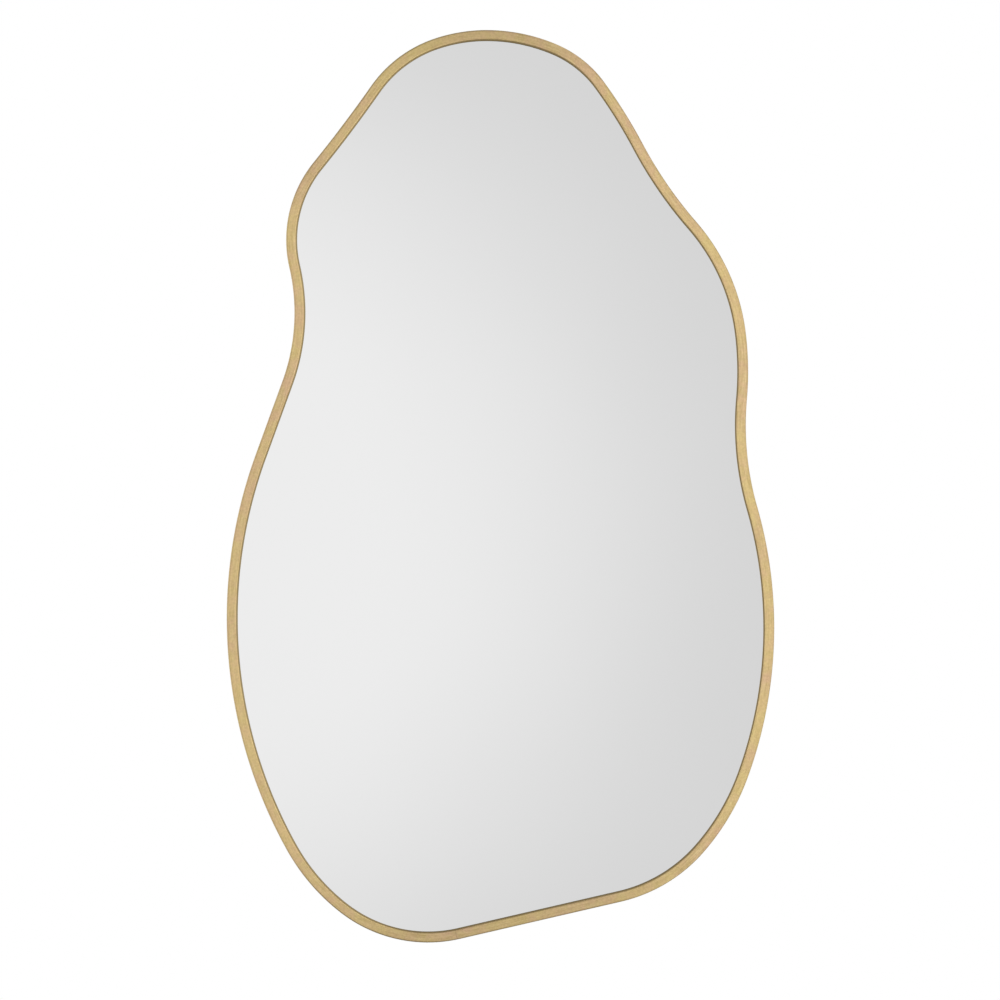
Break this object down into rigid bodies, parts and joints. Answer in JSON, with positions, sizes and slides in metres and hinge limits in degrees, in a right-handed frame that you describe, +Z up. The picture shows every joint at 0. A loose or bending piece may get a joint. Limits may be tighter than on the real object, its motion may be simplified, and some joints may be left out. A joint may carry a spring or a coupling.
{
  "type": "wall mirror",
  "caption": "Free-form wall mirror: silvered glass in a slim brushed brass band, on a backing board with rubber wall bumpers and hinged hanging rings.",
  "frame": {"origin": "on the plane of the wall, midway between the places where the two hanging rings sit on their wall hooks", "axes": "+X to the right as the mirror is looked at, +Z up, +Y towards the wall; the glass faces -Y"},
  "size_m": [0.6003, 0.027, 1.0004],
  "materials": {
    "brushed_brass": "steel strip, brass plated, brushed along its length and lacquered",
    "zinc_steel": "bright zinc plated",
    "silvered_glass": "4 mm float glass, silvered on its back",
    "safety_film": "woven-backed adhesive film",
    "bronze_tape": "foam tape with a satin bronze-coloured metallised face",
    "grey_foam": "foam strip",
    "fibreboard": "bare medium-density fibreboard",
    "black_rubber": "moulded, matt"
  },
  "bodies": {
    "mirror": {"frame_band": "brushed_brass", "seam_splice": "zinc_steel", "glazing_tape": "bronze_tape", "mirror_glass": "silvered_glass", "safety_film": "safety_film", "foam_strip_left": "grey_foam", "foam_strip_middle": "grey_foam", "foam_strip_right": "grey_foam", "hanger_strap_left": "zinc_steel", "hanger_strap_right": "zinc_steel", "hanger_screws": "zinc_steel", "backing_board": "fibreboard", "setting_pad_1": "black_rubber", "setting_pad_2": "black_rubber", "setting_pad_3": "black_rubber", "setting_pad_4": "black_rubber", "setting_pad_5": "black_rubber", "setting_pad_6": "black_rubber", "bend_tab_1": "brushed_brass", "bend_tab_2": "brushed_brass", "bend_tab_3": "brushed_brass", "bend_tab_4": "brushed_brass", "bend_tab_5": "brushed_brass", "bend_tab_6": "brushed_brass", "bend_tab_7": "brushed_brass", "bend_tab_8": "brushed_brass", "bend_tab_9": "brushed_brass", "wall_bumper_1": "black_rubber", "wall_bumper_2": "black_rubber", "wall_bumper_3": "black_rubber", "wall_bumper_4": "black_rubber"},
    "ring_left": {"hanger_ring_left": "zinc_steel"},
    "ring_right": {"hanger_ring_right": "zinc_steel"}
  },
  "joints": [
    {"name": "ring_left_hinge", "type": "hinge", "parent": "mirror", "child": "ring_left", "pos_m": [-0.15, -0.00775, -0.01548], "axis": [-1, 0, 0], "range_deg": [0, 173]},
    {"name": "ring_right_hinge", "type": "hinge", "parent": "mirror", "child": "ring_right", "pos_m": [0.15, -0.00775, -0.01548], "axis": [-1, 0, 0], "range_deg": [0, 173]}
  ]
}
